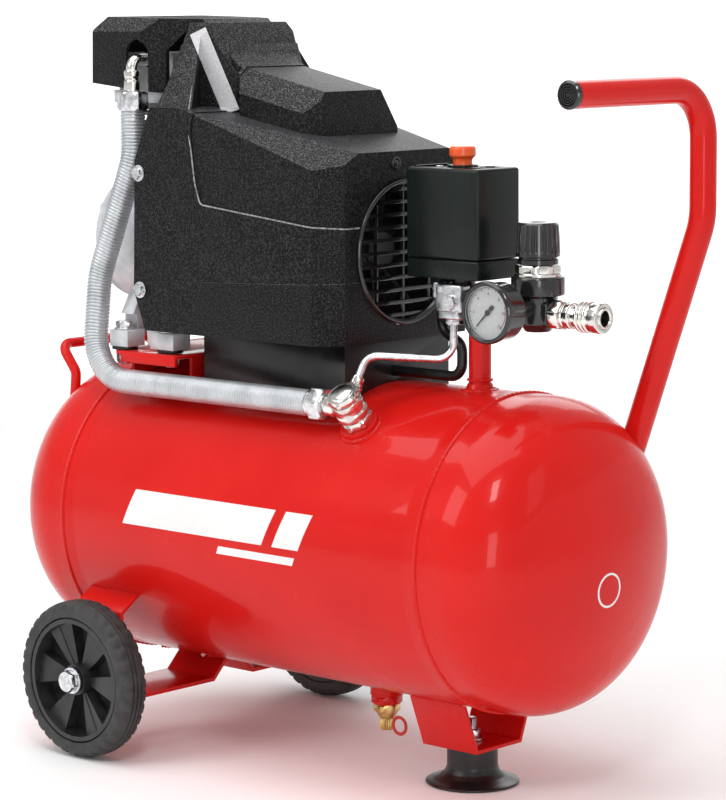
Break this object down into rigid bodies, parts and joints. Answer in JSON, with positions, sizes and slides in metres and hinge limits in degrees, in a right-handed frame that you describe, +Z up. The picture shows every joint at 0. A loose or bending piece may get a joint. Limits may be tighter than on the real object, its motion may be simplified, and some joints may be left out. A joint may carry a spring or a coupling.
{
  "type": "air compressor",
  "caption": "Portable hotdog air compressor: horizontal red tank on wheels and a suction foot, shrouded direct-drive piston pump, pressure switch, regulator, gauge and quick coupler.",
  "frame": {"origin": "on the floor, under the centre of the outline box in X and Y", "axes": "+X along the tank towards the push handle, +Y across to the far wheel, +Z up"},
  "size_m": [0.581, 0.3236, 0.582],
  "materials": {
    "tank_paint": "high gloss bright red enamel",
    "shroud_plastic": "grained black plastic",
    "switch_plastic": "fine satin dark green-black plastic",
    "black_fitting": "smooth black",
    "hub_plastic": "moulded black plastic",
    "tyre_rubber": "ribbed solid rubber",
    "soft_rubber": "soft black rubber",
    "knob_orange": "moulded orange-red plastic",
    "zinc": "zinc plated",
    "nickel": "nickel plated",
    "brass_parts": "turned brass",
    "cast_alu": "light grey die cast",
    "iron": "grey cast",
    "shaft_steel": "ground steel",
    "dial_white": "white printed dial",
    "needle_black": "satin black",
    "lens": "clear",
    "sight": "clear over oil",
    "cap_red": "moulded red plastic"
  },
  "bodies": {
    "compressor_frame": {"tank_barrel": "tank_paint", "tank_head_left": "tank_paint", "tank_head_right": "tank_paint", "axle_bracket": "tank_paint", "foot_bracket": "tank_paint", "suction_foot": "soft_rubber", "foot_fasteners": "zinc", "axle_fasteners": "zinc", "handle_tube": "tank_paint", "handle_cap": "black_fitting", "rear_handle": "tank_paint", "pump_saddle": "tank_paint", "rubber_mounts": "soft_rubber", "mount_bolts": "zinc", "capacitor_box": "shroud_plastic", "drain_valve": "brass_parts", "riser_pipe": "tank_paint", "manifold": "black_fitting", "unloader_block": "nickel", "switch_base": "switch_plastic", "switch_cover": "switch_plastic", "motor_cable": "soft_rubber", "safety_valve": "brass_parts", "regulator_body": "black_fitting", "regulator_ring": "nickel", "gauge_case": "black_fitting", "gauge_dial": "dial_white", "gauge_glass": "lens", "coupler_body": "nickel", "check_valve": "nickel", "hose_nuts": "nickel", "discharge_hose": "zinc", "outlet_elbow": "nickel", "unloader_tube": "nickel", "crankcase": "cast_alu", "crankcase_cover": "cast_alu", "sight_glass": "sight", "breather_cap": "cap_red", "finned_cylinder": "iron", "cylinder_head": "cast_alu", "stator": "iron", "shroud": "shroud_plastic", "shroud_strip": "zinc", "fan_grille": "shroud_plastic", "shroud_screws": "zinc", "intake_filter": "shroud_plastic"},
    "wheel_near": {"hub_near": "hub_plastic", "tyre_near": "tyre_rubber"},
    "wheel_far": {"hub_far": "hub_plastic", "tyre_far": "tyre_rubber"},
    "switch_button": {"switch_knob": "knob_orange"},
    "drain_key": {"drain_screw": "brass_parts"},
    "safety_pull": {"safety_ring": "zinc"},
    "pressure_knob": {"regulator_knob": "black_fitting"},
    "gauge_pointer": {"gauge_needle": "needle_black"},
    "release_sleeve": {"coupler_sleeve": "nickel"},
    "crank_train": {"rotor_shaft": "shaft_steel", "fan": "shroud_plastic"},
    "piston_body": {"piston": "cast_alu"},
    "rod_body": {"connecting_rod": "cast_alu"}
  },
  "joints": [
    {"name": "wheel_near_spin", "type": "hinge", "parent": "compressor_frame", "child": "wheel_near", "pos_m": [-0.15785, -0.1415, 0.0625], "axis": [0, 1, 0], "continuous": true},
    {"name": "wheel_far_spin", "type": "hinge", "parent": "compressor_frame", "child": "wheel_far", "pos_m": [-0.15785, 0.1415, 0.0625], "axis": [0, 1, 0], "continuous": true},
    {"name": "switch_pull", "type": "slide", "parent": "compressor_frame", "child": "switch_button", "axis": [0, 0, 1], "range_m": [0, 0.006]},
    {"name": "drain_turn", "type": "hinge", "parent": "compressor_frame", "child": "drain_key", "pos_m": [0.03795, 0, 0.0315], "axis": [0, 0, 1], "range_deg": [0, 360]},
    {"name": "safety_lift", "type": "slide", "parent": "compressor_frame", "child": "safety_pull", "axis": [0, 1, 0], "range_m": [0, 0.003], "stiffness_N_per_m": 4000, "springref_m": -0.001},
    {"name": "pressure_set", "type": "hinge", "parent": "compressor_frame", "child": "pressure_knob", "pos_m": [0.18985, 0, 0.415], "axis": [0, 0, 1], "range_deg": [-720, 720]},
    {"name": "gauge_swing", "type": "hinge", "parent": "compressor_frame", "child": "gauge_pointer", "pos_m": [0.18985, -0.058, 0.369], "axis": [0, 1, 0], "range_deg": [0, 270]},
    {"name": "sleeve_release", "type": "slide", "parent": "compressor_frame", "child": "release_sleeve", "axis": [-1, 0, 0], "range_m": [0, 0.0045], "stiffness_N_per_m": 3000, "springref_m": -0.003},
    {"name": "crank_spin", "type": "hinge", "parent": "compressor_frame", "child": "crank_train", "pos_m": [-0.07485, 0, 0.403], "axis": [1, 0, 0], "continuous": true},
    {"name": "piston_stroke", "type": "slide", "parent": "compressor_frame", "child": "piston_body", "axis": [0, 0, -1], "range_m": [0, 0.04]},
    {"name": "rod_swing", "type": "hinge", "parent": "piston_body", "child": "rod_body", "pos_m": [-0.17985, 0, 0.493], "axis": [1, 0, 0], "range_deg": [-16.6, 16.6]}
  ]
}
